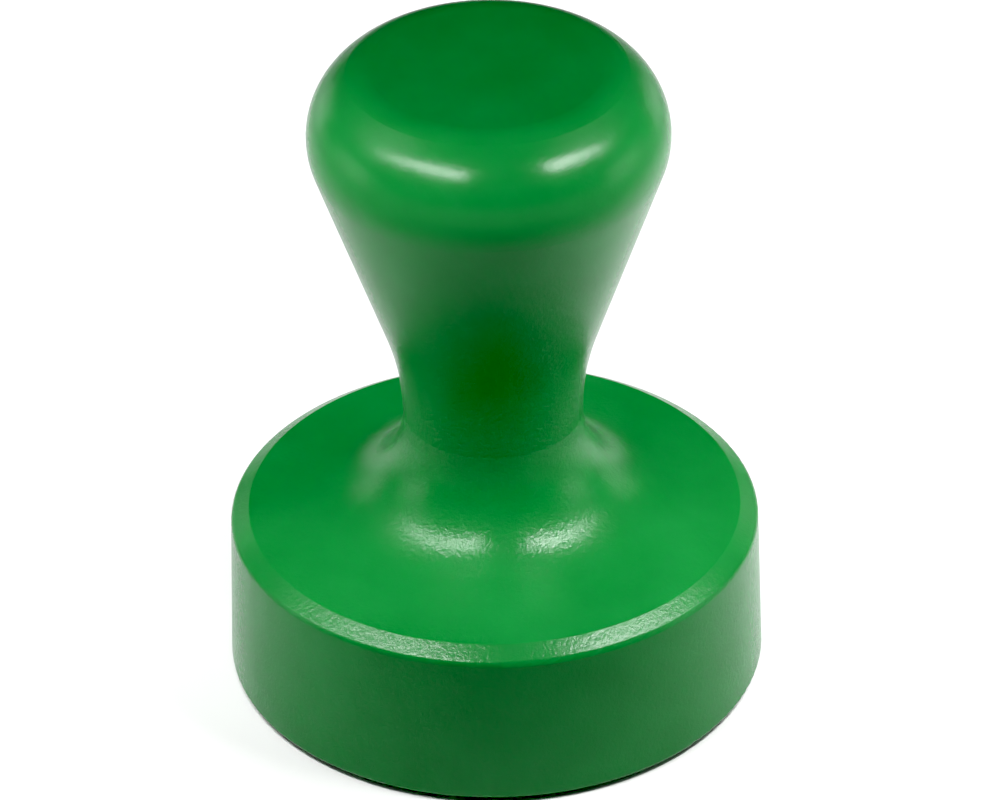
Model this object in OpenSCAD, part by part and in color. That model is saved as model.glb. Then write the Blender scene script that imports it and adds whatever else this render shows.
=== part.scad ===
// Hand-held holding magnet: a one-piece moulded grip over a ferrite pot magnet.
// The origin is the centre of the holding face. +Z runs up the axis, towards the knob.

/* [Foot] */
// Diameter of the foot at its lower edge
foot_d = 46; // [45:0.5:56]
// Height of the foot's side wall
side_h = 13.75; // [13:0.25:18]
// Draft of the side wall, in degrees
side_draft = 1.6; // [0.5:0.1:3]
// Width of the flat chamfer around the top of the side wall, measured in plan
chamfer_w = 1.55; // [0.8:0.05:2.2]
// Height of that chamfer
chamfer_h = 1.0; // [0.6:0.05:1.6]
// How far the foot's top rises towards the neck, in degrees
deck_slope = 6.2; // [2:0.2:10]
// Height of the moulded foot's lower edge above the holding face
foot_gap = 0.4; // [0.2:0.1:0.8]

/* [Neck and handle] */
// Diameter of the neck at its narrowest
neck_d = 15.3; // [14.5:0.1:18.4]
// Radius of the flare from the neck's narrowest place down to the foot
flare_r = 9; // [7:0.1:11]
// Radius of the neck from its narrowest place up to the taper
neck_r = 26; // [16:0.5:36]
// Widest diameter of the knob
knob_d = 30.3; // [25.2:0.1:36.4]
// Height of the whole grip, from the foot's lower edge to the knob's crown
grip_h = 58; // [52:0.1:69.6]
// Radius of the knob's side
rim_r = 7; // [5.6:0.1:8]
// Radius over the knob's crown
crown_r = 3.2; // [2.4:0.1:4]
// Angle above the horizontal at which the side radius turns into the crown radius
crown_start = 59; // [50:1:66]
// Depth of the thumb dish in the knob
dish_depth = 0.6; // [0.4:0.1:1.6]

/* [Moulding] */
// Radius on the foot's lower outer edge
foot_edge_r = 0.5; // [0.3:0.1:0.8]
// Radius on the lower edge of the chamfer
low_edge_r = 0.6; // [0.3:0.1:0.8]
// Radius on the upper edge of the chamfer
high_edge_r = 0.25; // [0.1:0.05:0.4]
// Least wall between the hollow under the foot and its top
deck_wall = 2.8; // [2:0.1:3.5]
// Wall of the boss around the threaded insert
boss_wall = 2.4; // [1.8:0.1:3]
// Width of the ledge that the pot magnet's edge seats on
ledge_w = 2.4; // [1.5:0.1:3.5]
// Number of ribs between the boss and the ledge
rib_count = 6; // [4:1:8]
// Thickness of each rib
rib_t = 1.5; // [1:0.1:2]
// Draft of the cored-out faces, in degrees
core_draft = 1; // [0.5:0.1:2]
// Width of the shoulder between the insert's hole and the core hole above it
core_shoulder = 0.6; // [0.3:0.1:1.2]
// Plastic left between the end of the core hole and the thumb dish
core_cap = 8; // [5:0.5:14]

/* [Pot magnet] */
// Outside diameter of the steel cup
cup_d = 40; // [33:0.5:40]
// Height of the steel cup
cup_h = 8; // [7.6:0.1:10]
// Thickness of the cup's side wall
cup_wall = 1.8; // [1.4:0.1:2.2]
// Thickness of the cup's floor
cup_floor = 2; // [1.6:0.1:2.2]
// Outside bend radius of the cup
cup_bend_r = 1.2; // [0.6:0.1:1.4]
// Gap between the cup's wall and the ferrite ring
pole_gap = 2.2; // [1.4:0.1:3]
// Diameter of the hole through the ferrite ring
ferrite_hole_d = 12; // [11:0.5:16]
// How far the ferrite sits back from the cup's rim
ferrite_recess = 0.2; // [0.1:0.05:0.4]
// How far the gap ring sits back from the cup's rim
gap_ring_recess = 1; // [0.5:0.1:2]

/* [Fixing] */
// Nominal diameter of the fixing screw
screw_d = 5; // [4:0.5:6]
// Length of the screw under its head
screw_l = 12; // [10:1:14]
// Diameter of the screw's head
head_d = 9.5; // [7.6:0.1:10.5]
// Height of the screw's head
head_h = 2.75; // [2.2:0.05:3.3]
// Width across flats of the head's hexagon socket
socket_af = 3; // [2.5:0.5:4]
// Depth of the socket
socket_depth = 1.6; // [1.2:0.1:2]
// Outside diameter of the flat washer
washer_d = 10; // [8.5:0.1:10.8]
// Thickness of the flat washer
washer_t = 1; // [0.6:0.1:1.2]
// Outside diameter of the spring washer
spring_d = 9.2; // [7.6:0.1:10.5]
// Thickness of the spring washer when it is clamped flat
spring_t = 1.2; // [0.8:0.1:1.4]
// Width of the split in the spring washer
spring_split = 0.8; // [0.4:0.1:1.2]
// Length of the threaded insert
insert_l = 10; // [9:0.5:12]
// Wall of the insert, outside its thread
insert_wall = 1.1; // [0.9:0.1:1.5]
// Width of the insert's head beyond its body
insert_flange_w = 1.2; // [0.8:0.1:1.6]
// Thickness of the insert's head
insert_flange_t = 0.9; // [0.6:0.1:1.4]
// Number of knurl grooves around the insert
knurl_count = 20; // [12:1:24]
// Depth of the knurl grooves
knurl_depth = 0.3; // [0.1:0.05:0.4]

/* [Clearances] */
// Gap all round between the cup and the foot's wall
cup_clear = 0.2; // [0.1:0.05:0.4]
// Gap all round on each side of the gap ring
ring_clear = 0.05; // [0.02:0.01:0.1]
// Gap all round between the screw and the insert's thread
thread_clear = 0.03; // [0.02:0.01:0.08]
// Gap all round between the screw and the cup's floor
screw_clear = 0.25; // [0.1:0.05:0.4]
// Gap all round between the screw and its washers
washer_clear = 0.1; // [0.05:0.05:0.2]
// Gap all round between the insert and its hole in the boss
insert_clear = 0.02; // [0.01:0.01:0.05]

/* [Hidden] */
$fn = 96;

// Cuts run this far past the faces they open.
cut = 1;

// ---- Heights, from the holding face up ----
cup_inner_z = cup_h - cup_floor;
washer_z = cup_inner_z - washer_t;
spring_z = washer_z - spring_t;
head_z = spring_z - head_h;
screw_tip_z = spring_z + screw_l;
insert_top_z = cup_h + insert_l;
foot_z = foot_gap;
top_z = foot_z + grip_h;

// ---- The grip's outline, in the plane of radius and height ----
// Each straight stretch is named by the angle of its outward normal.
function unit(a) = [cos(a), sin(a)];
side_n = side_draft;
chamfer_n = atan2(chamfer_w, chamfer_h);
deck_n = 90 - deck_slope;

foot_corner = [foot_d / 2, foot_z];
side_top = foot_corner + [-side_h * tan(side_draft), side_h];
deck_edge = side_top + [-chamfer_w, chamfer_h];

// The flare touches the foot's top, and the neck's radius carries on from it at the waist.
flare_x = neck_d / 2 + flare_r;
flare_c = [flare_x, (unit(deck_n) * deck_edge + flare_r - cos(deck_n) * flare_x) / sin(deck_n)];
waist = [neck_d / 2, flare_c.y];
neck_c = waist + [neck_r, 0];

// The knob's side radius, and the crown radius that it runs into.
rim_c = [knob_d / 2 - rim_r,
         top_z - rim_r * sin(crown_start) - crown_r * (1 - sin(crown_start))];
crown_c = rim_c + (rim_r - crown_r) * unit(crown_start);

// The handle's taper is the line that touches both the neck's radius and the knob's side.
neck_from_rim = neck_c - rim_c;
taper_n = atan2(neck_from_rim.y, neck_from_rim.x)
        + acos((neck_r + rim_r) / norm(neck_from_rim));

// The dish is a sphere that runs out of the crown radius without a crease.
dish_span = (crown_c.x ^ 2 + dish_depth ^ 2) / (2 * dish_depth);
dish_r = dish_span - crown_r;
dish_c = [0, top_z - dish_depth + dish_r];
dish_edge_n = atan2(dish_c.y - crown_c.y, -crown_c.x);
dish_edge = crown_c + crown_r * unit(dish_edge_n);

// Centre of the arc that rounds a corner between two straight stretches.
function round_c(corner, n0, n1, r) = corner - r / cos((n1 - n0) / 2) * unit((n0 + n1) / 2);
foot_edge_c = round_c(foot_corner, -90, side_n, foot_edge_r);
low_edge_c = round_c(side_top, side_n, chamfer_n, low_edge_r);
high_edge_c = round_c(deck_edge, chamfer_n, deck_n, high_edge_r);

// ---- Inside the grip ----
pocket_r = cup_d / 2 + cup_clear;
insert_r = screw_d / 2 + insert_wall;
insert_hole_r = insert_r + insert_clear;
flange_r = insert_r + insert_flange_w;
boss_r = flange_r + insert_clear + boss_wall;
hollow_r = cup_d / 2 - ledge_w;
core_end_z = top_z - dish_depth - core_cap;
core_r = insert_hole_r - core_shoulder;

// The hollow's roof lies one wall under the foot's top and the flare.
roof_edge = deck_edge - deck_wall * unit(deck_n);
roof_join = flare_c - (flare_r + deck_wall) * unit(deck_n);

// ---- The pot magnet ----
cup_inner_r = cup_d / 2 - cup_wall;
ferrite_r = cup_inner_r - pole_gap;
cup_inner_bend_r = max(cup_bend_r - cup_wall / 2, 0.3);
ferrite_chamfer = 0.4;
gap_ring_chamfer = 0.3;
rim_chamfer = 0.2;

// ---- The fixing ----
// Height of the straight land around the head, and width of the flat around its socket
head_land = 0.4;
washer_chamfer = 0.15;
// Lean of the spring washer's split, in degrees
split_lean = 30;

// ---- Shared shapes ----

// A slice of a disc, between two angles.
module slice(c, r, a0, a1) {
    mid = (a0 + a1) / 2;
    far = 1.5 * r;
    intersection() {
        translate(c) circle(r);
        polygon([c, c + far * unit(a0), c + far / cos((a1 - a0) / 2) * unit(mid), c + far * unit(a1)]);
    }
}

// A ring with both ends' edges chamfered, standing on z.
module ring(z, h, outer_r, inner_r, chamfer) {
    rotate_extrude()
        polygon([[inner_r, z + chamfer], [inner_r + chamfer, z],
                 [outer_r - chamfer, z], [outer_r, z + chamfer],
                 [outer_r, z + h - chamfer], [outer_r - chamfer, z + h],
                 [inner_r + chamfer, z + h], [inner_r, z + h - chamfer]]);
}

// A straight hole along the axis, open past both ends.
module hole(r, z0, z1) {
    translate([0, 0, z0 - cut]) cylinder(r = r, h = z1 - z0 + 2 * cut);
}

// ---- Grip ----

// Everything inside the grip's outer surface, as a half outline.
module grip_outline() {
    difference() {
        union() {
            polygon([
                [0, foot_z],
                foot_edge_c + foot_edge_r * unit(-90),
                foot_edge_c + foot_edge_r * unit(side_n),
                low_edge_c + low_edge_r * unit(side_n),
                low_edge_c + low_edge_r * unit(chamfer_n),
                high_edge_c + high_edge_r * unit(chamfer_n),
                high_edge_c + high_edge_r * unit(deck_n),
                flare_c - flare_r * unit(deck_n),
                waist,
                neck_c - neck_r * unit(taper_n),
                rim_c + rim_r * unit(taper_n),
                rim_c + rim_r * unit(crown_start),
                dish_edge,
                [0, dish_edge.y]
            ]);
            slice(foot_edge_c, foot_edge_r, -90, side_n);
            slice(low_edge_c, low_edge_r, side_n, chamfer_n);
            slice(high_edge_c, high_edge_r, chamfer_n, deck_n);
            slice(rim_c, rim_r, taper_n, crown_start);
            slice(crown_c, crown_r, crown_start, dish_edge_n);
        }
        slice(flare_c, flare_r, 180, 180 + deck_n);
        slice(neck_c, neck_r, 180 + taper_n, 180);
        // The dish, down from the level of its own edge
        intersection() {
            translate(dish_c) circle(dish_r);
            translate([0, dish_edge.y - 2 * dish_depth]) square([crown_c.x, 2 * dish_depth]);
        }
    }
}

// The hollow under the foot, between the boss and the ledge, as a half outline.
module hollow_outline() {
    rise = waist.y - cup_h;
    lean = rise * tan(core_draft);
    intersection() {
        polygon([[boss_r, cup_h - cut], [hollow_r, cup_h - cut],
                 [hollow_r - lean, waist.y], [boss_r + lean, waist.y]]);
        difference() {
            polygon([[0, 0], [roof_edge.x, 0], roof_edge, roof_join, flare_c, [0, flare_c.y]]);
            translate(flare_c) circle(flare_r + deck_wall);
        }
    }
}

module rib_blanks() {
    for (i = [0 : rib_count - 1])
        rotate([0, 0, i * 360 / rib_count])
            translate([0, -rib_t / 2, cup_h])
                cube([hollow_r, rib_t, waist.y - cup_h + cut]);
}

module grip_body() {
    color("forestgreen") difference() {
        rotate_extrude() grip_outline();
        // Pocket for the pot magnet
        translate([0, 0, foot_z - cut]) cylinder(r = pocket_r, h = cup_h - foot_z + cut);
        // Hollow above it, with the ribs left standing
        difference() {
            rotate_extrude() hollow_outline();
            rib_blanks();
        }
        // Seat of the insert's head, the insert's hole and the core above it
        translate([0, 0, cup_h - cut]) cylinder(r = flange_r + insert_clear, h = insert_flange_t + cut);
        translate([0, 0, cup_h]) cylinder(r = insert_hole_r, h = insert_l);
        translate([0, 0, insert_top_z - cut])
            cylinder(r1 = core_r, r2 = core_r - (core_end_z - insert_top_z) * tan(core_draft),
                     h = core_end_z - insert_top_z + cut);
    }
}

// ---- Threaded insert ----

module threaded_insert() {
    lead = 0.5;
    band_gap = 1.4;
    band_z = cup_h + insert_flange_t;
    band_l = (insert_l - insert_flange_t - band_gap) / 2;
    thread_r = screw_d / 2 + thread_clear;
    groove_r = insert_r - knurl_depth;
    color("darkgoldenrod") difference() {
        rotate_extrude() polygon([
            [thread_r + lead, cup_h], [flange_r, cup_h], [flange_r, band_z], [insert_r, band_z],
            [insert_r, band_z + band_l], [groove_r, band_z + band_l],
            [groove_r, band_z + band_l + band_gap], [insert_r, band_z + band_l + band_gap],
            [insert_r, insert_top_z - lead], [insert_r - lead, insert_top_z],
            [thread_r, insert_top_z], [thread_r, cup_h + lead]
        ]);
        for (i = [0 : knurl_count - 1])
            rotate([0, 0, i * 360 / knurl_count])
                translate([insert_r, 0, band_z + (insert_l - insert_flange_t) / 2 + cut / 2])
                    rotate([0, 0, 45])
                        cube([knurl_depth * sqrt(2), knurl_depth * sqrt(2),
                              insert_l - insert_flange_t + cut], center = true);
    }
}

// ---- Pot magnet ----

module pot_cup() {
    outer_r = cup_d / 2;
    bend_c = [outer_r - cup_bend_r, cup_h - cup_bend_r];
    inner_bend_c = [cup_inner_r - cup_inner_bend_r, cup_inner_z - cup_inner_bend_r];
    hole_r = screw_d / 2 + screw_clear;
    color("silver") rotate_extrude() difference() {
        union() {
            polygon([[hole_r, 0], [outer_r - rim_chamfer, 0], [outer_r, rim_chamfer],
                     [outer_r, bend_c.y], [bend_c.x, cup_h], [hole_r, cup_h]]);
            slice(bend_c, cup_bend_r, 0, 90);
        }
        // The inside, with its corner left rounded
        polygon([[0, -cut], [cup_inner_r, -cut], [cup_inner_r, inner_bend_c.y],
                 [inner_bend_c.x, cup_inner_z], [0, cup_inner_z]]);
        slice(inner_bend_c, cup_inner_bend_r, 0, 90);
    }
}

module ferrite_ring() {
    color("dimgray")
        ring(ferrite_recess, cup_inner_z - ferrite_recess, ferrite_r, ferrite_hole_d / 2,
             ferrite_chamfer);
}

module gap_ring() {
    inner_r = ferrite_r + ring_clear;
    outer_r = cup_inner_r - ring_clear;
    // Its top is cut back to clear the cup's rounded inner corner.
    relief = cup_inner_bend_r;
    color("black") rotate_extrude()
        polygon([[inner_r, gap_ring_recess], [outer_r - gap_ring_chamfer, gap_ring_recess],
                 [outer_r, gap_ring_recess + gap_ring_chamfer], [outer_r, cup_inner_z - relief],
                 [outer_r - relief, cup_inner_z], [inner_r, cup_inner_z]]);
}

// ---- Fixing ----

module fixing_screw() {
    shank_r = screw_d / 2;
    head_r = head_d / 2;
    tip = 0.6;
    // The head is a low dome that ends in a flat around the socket.
    socket_r = socket_af / sqrt(3);
    flat_r = socket_r + head_land;
    dome_h = head_h - head_land;
    dome_c = (head_r ^ 2 + dome_h ^ 2 - flat_r ^ 2) / (2 * dome_h);
    color("gray") difference() {
        union() {
            translate([0, 0, spring_z]) cylinder(r = shank_r, h = screw_l - tip);
            translate([0, 0, screw_tip_z - tip]) cylinder(r1 = shank_r, r2 = shank_r - tip, h = tip);
            rotate_extrude() intersection() {
                translate([0, head_z + dome_c]) circle(norm([flat_r, dome_c]));
                translate([0, head_z]) square([head_r, head_h]);
            }
        }
        translate([0, 0, head_z - cut]) cylinder(r = socket_r, h = socket_depth + cut, $fn = 6);
    }
}

module spring_washer() {
    color("gray") difference() {
        translate([0, 0, spring_z]) cylinder(d = spring_d, h = spring_t);
        hole(screw_d / 2 + washer_clear, spring_z, spring_z + spring_t);
        // The split runs through the ring at a slant.
        translate([0, 0, spring_z + spring_t / 2])
            rotate([split_lean, 0, 0])
                translate([0, -spring_split / 2, -2 * spring_t])
                    cube([spring_d, spring_split, 4 * spring_t]);
    }
}

module flat_washer() {
    color("silver")
        ring(washer_z, washer_t, washer_d / 2, screw_d / 2 + washer_clear, washer_chamfer);
}

grip_body();
threaded_insert();
pot_cup();
ferrite_ring();
gap_ring();
fixing_screw();
spring_washer();
flat_washer();
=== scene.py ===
"""Welding magnet holder: camera, floor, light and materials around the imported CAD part.

Scene units are metres; MM turns millimetres into them.
"""

import math

import bpy
from mathutils import Matrix, Vector


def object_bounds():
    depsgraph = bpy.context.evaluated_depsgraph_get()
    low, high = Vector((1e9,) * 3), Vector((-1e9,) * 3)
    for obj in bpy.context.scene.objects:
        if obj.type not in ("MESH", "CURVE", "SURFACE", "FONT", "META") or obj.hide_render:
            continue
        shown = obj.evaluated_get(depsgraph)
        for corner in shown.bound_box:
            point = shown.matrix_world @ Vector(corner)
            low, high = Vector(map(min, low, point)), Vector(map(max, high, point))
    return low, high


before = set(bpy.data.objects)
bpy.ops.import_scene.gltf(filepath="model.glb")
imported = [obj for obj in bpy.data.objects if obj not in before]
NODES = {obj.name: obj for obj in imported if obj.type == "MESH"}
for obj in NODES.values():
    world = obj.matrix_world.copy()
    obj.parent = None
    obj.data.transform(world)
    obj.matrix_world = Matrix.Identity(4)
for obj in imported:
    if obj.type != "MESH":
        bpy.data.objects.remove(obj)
cad_low, cad_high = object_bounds()

MM = 0.001
FOOT_R = (cad_high.x - cad_low.x) / 2


# ---- Camera ----

def make_camera():
    """A long lens at the photograph's viewing angle, 33.5 degrees above level."""
    elevation = math.radians(33.5)
    roll = math.radians(0.93)
    radii_away = 25
    # The foot's radius at the target's distance, over the width of the picture.
    foot_share = 0.2714
    sensor_width = 36
    # The cup's rim stands this far below the plastic foot.
    rim_stand = 0.4 * MM
    # The target is on the axis, about halfway up the part.
    target = Vector((0, 0, 1.2 * FOOT_R + rim_stand))
    distance = radii_away * FOOT_R
    data = bpy.data.cameras.new("camera")
    data.sensor_width = sensor_width
    data.lens = sensor_width * foot_share * radii_away
    data.shift_x = 0.0075
    data.shift_y = -0.0245
    data.clip_start = 0.01
    data.clip_end = 20
    camera = bpy.data.objects.new("camera", data)
    back = Vector((0, -math.cos(elevation), math.sin(elevation)))
    facing = back.to_track_quat("Z", "Y").to_matrix().to_4x4()
    place = Matrix.Translation(target + distance * back)
    camera.matrix_world = place @ facing @ Matrix.Rotation(-roll, 4, "Z")
    bpy.context.scene.collection.objects.link(camera)
    bpy.context.scene.camera = camera


# ---- Light ----

def softbox(name, place, aim, size, power, spread):
    """A rectangular light whose grid keeps its beam within the spread, in degrees.

    Place, aim and size are in millimetres, and power is in watts.
    """
    data = bpy.data.lights.new(name, "AREA")
    data.shape = "RECTANGLE"
    data.size = size[0] * MM
    data.size_y = size[1] * MM
    data.energy = power
    data.spread = math.radians(spread)
    light = bpy.data.objects.new(name, data)
    light.location = Vector(place) * MM
    light.rotation_euler = (Vector(place) - Vector(aim)).to_track_quat("Z", "Y").to_euler()
    bpy.context.scene.collection.objects.link(light)


def make_lights():
    """Two near strips make the long highlights. The boxes are soft and weak."""
    softbox("key_left", (-62, -25, 96), (-38, 13, 8), (110, 14), 0.040, 97)
    softbox("key_right", (85, -5, 97), (56, 31, 8), (125, 15), 0.068, 97)
    # Low boxes at the sides lift the edges of the handle and the foot.
    softbox("side_left", (-170, 5, 50), (0, 10, 24), (110, 60), 0.003, 50)
    softbox("side_right", (170, 5, 50), (0, 10, 24), (110, 60), 0.003, 50)
    # Large boxes high at the sides light the floor and fill the handle.
    softbox("high_left", (-190, 40, 200), (0, 60, 10), (200, 200), 0.032, 60)
    softbox("high_right", (190, 40, 200), (0, 60, 10), (200, 200), 0.024, 60)
    # Low boxes behind the part lift its far edges.
    softbox("rear_left", (-120, 120, 50), (0, 10, 24), (60, 60), 0.002, 80)
    softbox("rear_right", (120, 120, 50), (0, 10, 24), (60, 60), 0.002, 80)
    # A box high above the floor behind the part lights it there.
    softbox("floor_back", (-20, 120, 260), (-20, 95, 0), (160, 80), 0.022, 40)


def make_world():
    """A faint, even fill."""
    world = bpy.data.worlds.new("world")
    world.use_nodes = True
    background = world.node_tree.nodes["Background"]
    background.inputs["Color"].default_value = (1, 1, 1, 1)
    background.inputs["Strength"].default_value = 0.02
    bpy.context.scene.world = world


# ---- Materials ----

class Nodes:
    """A new material, and short calls that add nodes to it.

    Patterns use the part's own coordinates, in metres.
    """

    def __init__(self, name):
        self.mat = bpy.data.materials.new(name)
        self.mat.use_nodes = True
        self.tree = self.mat.node_tree
        self.shader = self.tree.nodes["Principled BSDF"]
        self.coords = self.tree.nodes.new("ShaderNodeTexCoord").outputs["Object"]

    def add(self, kind, inputs, **settings):
        """Adds a node. An input is either another node's output or a value."""
        node = self.tree.nodes.new("ShaderNode" + kind)
        for key, value in settings.items():
            setattr(node, key, value)
        for key, value in inputs.items():
            if isinstance(value, bpy.types.NodeSocket):
                self.tree.links.new(value, node.inputs[key])
            else:
                node.inputs[key].default_value = value
        return node

    def set(self, **values):
        """Sets the shader's own sockets. An underscore in a name stands for a space."""
        for key, value in values.items():
            self.shader.inputs[key.replace("_", " ")].default_value = value

    def link(self, name, output):
        """Drives one of the shader's sockets from a node's output."""
        self.tree.links.new(output, self.shader.inputs[name])

    def stretch(self, factors):
        """The coordinates times a factor along each axis, for marks that run along one of them."""
        return self.add("VectorMath", {0: self.coords, 1: factors}, operation="MULTIPLY").outputs[0]

    def noise(self, size_mm, detail=2.0, rough=0.5, vector=None):
        """Cloudy noise with features of about the given size."""
        scale = 1 / (size_mm * MM)
        inputs = {"Vector": vector or self.coords, "Scale": scale, "Detail": detail, "Roughness": rough}
        return self.add("TexNoise", inputs).outputs["Fac"]

    def span(self, value, low, high, source=(0.3, 0.7)):
        """Maps the source range of a value onto low to high, and holds it there outside the range."""
        inputs = {
            "Value": value,
            "From Min": source[0],
            "From Max": source[1],
            "To Min": low,
            "To Max": high,
        }
        return self.add("MapRange", inputs).outputs["Result"]

    def blend(self, factor, first, second):
        """Mixes two colours. Each is a value or a node's output."""
        inputs = {"Factor": factor, "A": first, "B": second}
        mix = self.tree.nodes.new("ShaderNodeMix")
        mix.data_type = "RGBA"
        for key, value in inputs.items():
            socket = next(s for s in mix.inputs if s.name == key and s.enabled)
            if isinstance(value, bpy.types.NodeSocket):
                self.tree.links.new(value, socket)
            else:
                socket.default_value = value
        return next(s for s in mix.outputs if s.enabled)

    def bump(self, height, depth_mm, strength=1.0, normal=None):
        """Turns a pattern into relief of the given depth, on top of another relief if there is one."""
        inputs = {"Height": height, "Distance": depth_mm * MM, "Strength": strength}
        if normal is not None:
            inputs["Normal"] = normal
        return self.add("Bump", inputs).outputs["Normal"]

    def height_mask(self, low_mm, high_mm):
        """0 below the first height and 1 above the second."""
        z = self.add("SeparateXYZ", {0: self.coords}).outputs["Z"]
        return self.span(z, 0.0, 1.0, (low_mm * MM, high_mm * MM))


def green_plastic():
    """Moulded green polypropylene: fine spark texture on the foot and flare, smoother on the knob."""
    deep = (0.012, 0.144, 0.029, 1)
    bright = (0.015, 0.166, 0.036, 1)
    knob_strength = 0.35
    m = Nodes("green_plastic")
    knob = m.height_mask(low_mm=26, high_mm=44)
    cloud = m.noise(9, detail=3)
    m.link("Base Color", m.blend(m.span(cloud, 0, 1), deep, bright))
    grain = m.noise(0.4, detail=2, rough=0.6)
    # Roughness stays under 0.27, because crossing it leaves pale dots in denoised renders.
    m.link("Roughness", m.span(grain, 0.2, 0.265))
    strength = m.span(knob, 1.0, knob_strength, source=(0, 1))
    fine = m.bump(grain, depth_mm=0.035, strength=strength)
    wave = m.noise(2.5, detail=1)
    m.link("Normal", m.bump(wave, depth_mm=0.02, strength=0.5, normal=fine))
    m.set(Subsurface_Weight=0.35, Subsurface_Radius=(0.35, 1.0, 0.35), Subsurface_Scale=1.2 * MM)
    m.set(Specular_IOR_Level=0.21)
    return m.mat


def plated_steel(name, light, dark, rough, ring_mm):
    """Plate on turned or drawn steel: cloudy tone, and fine rings around the axis."""
    m = Nodes(name)
    cloud = m.noise(4, detail=4, rough=0.6)
    m.link("Base Color", m.blend(m.span(cloud, 0, 1), dark, light))
    radius = m.add("VectorMath", {0: m.stretch((1, 1, 0))}, operation="LENGTH").outputs["Value"]
    along_radius = m.add("CombineXYZ", {"X": radius, "Y": 0.0, "Z": 0.0}).outputs["Vector"]
    rings = m.noise(ring_mm, detail=3, rough=0.7, vector=along_radius)
    m.link("Roughness", m.span(cloud, rough + 0.1, rough - 0.05))
    skin = m.bump(m.noise(0.5, detail=2), depth_mm=0.006, strength=0.5)
    m.link("Normal", m.bump(rings, depth_mm=0.012, strength=0.6, normal=skin))
    m.set(Metallic=1.0)
    return m.mat


def ferrite():
    """Ground sintered ferrite: dark grey with fine pores and faint grinding lines."""
    dark = (0.042, 0.042, 0.045, 1)
    light = (0.07, 0.07, 0.074, 1)
    pore_colour = (0.02, 0.02, 0.021, 1)
    pore_mm = 0.7
    m = Nodes("ferrite")
    lines = m.noise(0.3, detail=3, rough=0.6, vector=m.stretch((1.0, 0.06, 1.0)))
    pores = m.add("TexVoronoi", {"Vector": m.coords, "Scale": 1 / (pore_mm * MM)}).outputs["Distance"]
    pit = m.span(pores, 0.0, 1.0, source=(0.05, 0.25))
    tone = m.blend(m.span(m.noise(3, detail=3), 0, 1), dark, light)
    m.link("Base Color", m.blend(pit, pore_colour, tone))
    m.link("Roughness", m.span(lines, 0.42, 0.6))
    ground = m.bump(lines, depth_mm=0.01, strength=0.6)
    m.link("Normal", m.bump(pit, depth_mm=0.03, strength=0.6, normal=ground))
    return m.mat


def black_plastic():
    """Matt black moulding with a fine texture and a little dust in it."""
    black = (0.014, 0.014, 0.015, 1)
    dusty = (0.05, 0.05, 0.05, 1)
    m = Nodes("black_plastic")
    grain = m.noise(0.35, detail=2, rough=0.6)
    dust = m.span(m.noise(1.6, detail=4, rough=0.7), 0, 1, source=(0.55, 0.8))
    m.link("Base Color", m.blend(dust, black, dusty))
    m.link("Roughness", m.span(grain, 0.5, 0.65))
    m.link("Normal", m.bump(grain, depth_mm=0.03, strength=0.8))
    return m.mat


def brass():
    """Turned brass, a little dulled."""
    dull = (0.55, 0.36, 0.13, 1)
    clean = (0.74, 0.53, 0.24, 1)
    m = Nodes("brass")
    cloud = m.noise(2, detail=3, rough=0.6)
    m.link("Base Color", m.blend(m.span(cloud, 0, 1), dull, clean))
    m.link("Roughness", m.span(cloud, 0.38, 0.26))
    turned = m.noise(0.12, detail=2, rough=0.6, vector=m.stretch((0.05, 0.05, 1.0)))
    m.link("Normal", m.bump(turned, depth_mm=0.01, strength=0.6))
    m.set(Metallic=1.0)
    return m.mat


# ---- Floor ----

def make_floor():
    """A pale floor. It glows softly away from the lamps, so that it isn't dark out there."""
    glow = 0.46
    near = 2.5 * FOOT_R
    far = 6.5 * FOOT_R
    bpy.ops.mesh.primitive_plane_add(size=6, location=(0, 0, cad_low.z))
    floor = bpy.context.object
    floor.name = "floor"
    m = Nodes("floor")
    radius = m.add("VectorMath", {0: m.coords}, operation="LENGTH").outputs["Value"]
    m.link("Emission Strength", m.span(radius, 0.0, glow, source=(near, far)))
    m.set(Base_Color=(0.7, 0.7, 0.7, 1), Roughness=0.9, Emission_Color=(1, 1, 1, 1))
    floor.data.materials.append(m.mat)


def dress(node, mat):
    """Puts a material in every slot of a CAD node's object."""
    piece = NODES[node]
    if not piece.material_slots:
        piece.data.materials.append(mat)
    for slot in piece.material_slots:
        slot.link = "OBJECT"
        slot.material = mat


def dress_nodes():
    """Each CAD node's own finish, by what it is made of."""
    zinc = plated_steel("zinc_plate", (0.66, 0.67, 0.68, 1), (0.50, 0.51, 0.53, 1), 0.3, 0.15)
    dress("grip_body", green_plastic())
    dress("pot_cup", zinc)
    dress("ferrite_ring", ferrite())
    dress("gap_ring", black_plastic())
    screw = plated_steel("screw_plate", (0.64, 0.63, 0.60, 1), (0.50, 0.49, 0.46, 1), 0.28, 0.1)
    dress("fixing_screw", screw)
    spring = plated_steel("spring_steel", (0.38, 0.38, 0.39, 1), (0.26, 0.26, 0.27, 1), 0.34, 0.1)
    dress("spring_washer", spring)
    dress("flat_washer", zinc)
    dress("threaded_insert", brass())


def set_view():
    """Plain colours, between a raised black point and a lowered white point."""
    black = 0.018
    white = 0.75
    view = bpy.context.scene.view_settings
    view.view_transform = "Standard"
    view.use_curve_mapping = True
    view.curve_mapping.black_level = (black, black, black)
    view.curve_mapping.white_level = (white, white, white)
    view.curve_mapping.update()


# ---- Build ----

make_camera()
make_floor()
make_lights()
make_world()
dress_nodes()
set_view()
